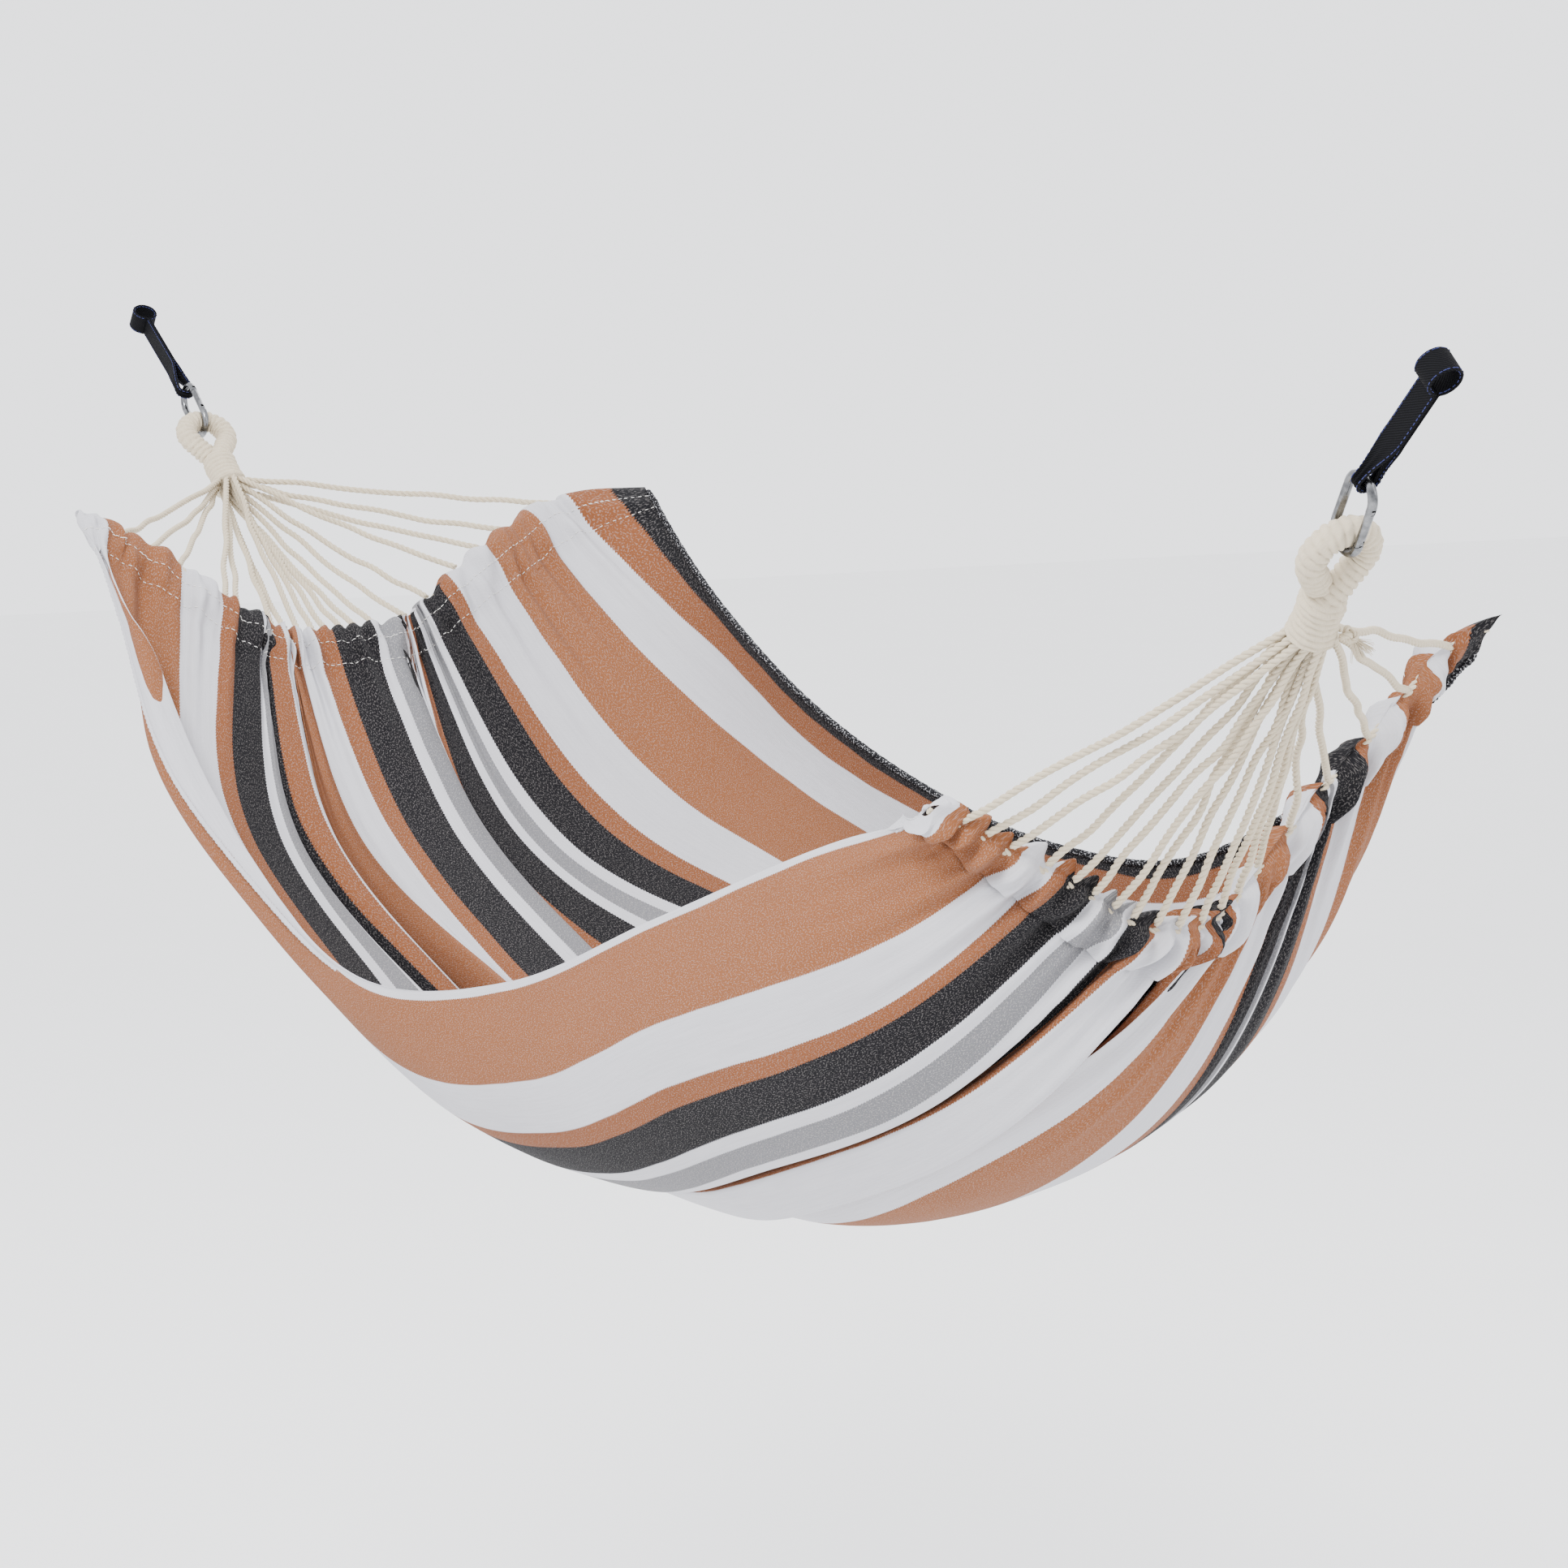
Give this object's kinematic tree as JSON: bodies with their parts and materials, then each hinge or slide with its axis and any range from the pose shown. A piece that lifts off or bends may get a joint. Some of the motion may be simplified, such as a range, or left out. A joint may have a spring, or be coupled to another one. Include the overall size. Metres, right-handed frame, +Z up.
{
  "type": "fabric hammock",
  "caption": "Striped cotton hammock hung from fanned twisted cords gathered into rope eyes, with snap hooks and webbing slings at both ends.",
  "frame": {"origin": "centre of the left sling's top eye", "axes": "+X to the right sling's eye, +Y to the cloth's far edge, +Z up"},
  "size_m": [2.4652, 0.7353, 0.8388],
  "materials": {
    "webbing": "matt woven webbing",
    "zinc_steel": "bright zinc plate",
    "cotton_rope": "natural twisted cotton",
    "striped_cotton": "woven stripes in white, tan, charcoal and grey",
    "dark_selvedge": "charcoal speckled weave"
  },
  "bodies": {
    "slings": {"left_sling": "webbing", "right_sling": "webbing"},
    "bed": {"fabric_bed": "striped_cotton", "near_edge_hem": "striped_cotton", "far_edge_hem": "dark_selvedge", "tail_knots": "cotton_rope", "left_hook": "zinc_steel", "left_rope_eye": "cotton_rope", "left_whipping": "cotton_rope", "left_hem": "striped_cotton", "left_hem_cord": "cotton_rope", "right_hook": "zinc_steel", "right_rope_eye": "cotton_rope", "right_whipping": "cotton_rope", "right_hem": "striped_cotton", "right_hem_cord": "cotton_rope", "left_cord_01": "cotton_rope", "left_cord_02": "cotton_rope", "left_cord_03": "cotton_rope", "left_cord_04": "cotton_rope", "left_cord_05": "cotton_rope", "left_cord_06": "cotton_rope", "left_cord_07": "cotton_rope", "left_cord_08": "cotton_rope", "left_cord_09": "cotton_rope", "left_cord_10": "cotton_rope", "left_cord_11": "cotton_rope", "left_cord_12": "cotton_rope", "left_cord_13": "cotton_rope", "left_cord_14": "cotton_rope", "left_cord_15": "cotton_rope", "left_cord_16": "cotton_rope", "left_cord_17": "cotton_rope", "left_cord_18": "cotton_rope", "left_cord_19": "cotton_rope", "right_cord_01": "cotton_rope", "right_cord_02": "cotton_rope", "right_cord_03": "cotton_rope", "right_cord_04": "cotton_rope", "right_cord_05": "cotton_rope", "right_cord_06": "cotton_rope", "right_cord_07": "cotton_rope", "right_cord_08": "cotton_rope", "right_cord_09": "cotton_rope", "right_cord_10": "cotton_rope", "right_cord_11": "cotton_rope", "right_cord_12": "cotton_rope", "right_cord_13": "cotton_rope", "right_cord_14": "cotton_rope", "right_cord_15": "cotton_rope", "right_cord_16": "cotton_rope", "right_cord_17": "cotton_rope", "right_cord_18": "cotton_rope", "right_cord_19": "cotton_rope"},
    "left_gate": {"left_gate": "zinc_steel", "left_gate_pin": "zinc_steel", "left_gate_spring": "zinc_steel"},
    "right_gate": {"right_gate": "zinc_steel", "right_gate_pin": "zinc_steel", "right_gate_spring": "zinc_steel"}
  },
  "joints": [
    {"name": "swing", "type": "hinge", "parent": "slings", "child": "bed", "pos_m": [0.12454, 0, -0.084], "axis": [1, 0, 0], "range_deg": [-20, 20]},
    {"name": "left_gate_hinge", "type": "hinge", "parent": "bed", "child": "left_gate", "pos_m": [0.17456, 0, -0.10494], "axis": [0, -1, 0], "range_deg": [0, 26], "stiffness_Nm_per_rad": 0.2, "springref_deg": -17.19},
    {"name": "right_gate_hinge", "type": "hinge", "parent": "bed", "child": "right_gate", "pos_m": [2.3262, 0.00995, -0.13406], "axis": [-0.1208, -0.9812, -0.1507], "range_deg": [0, 26], "stiffness_Nm_per_rad": 0.2, "springref_deg": -17.19}
  ]
}
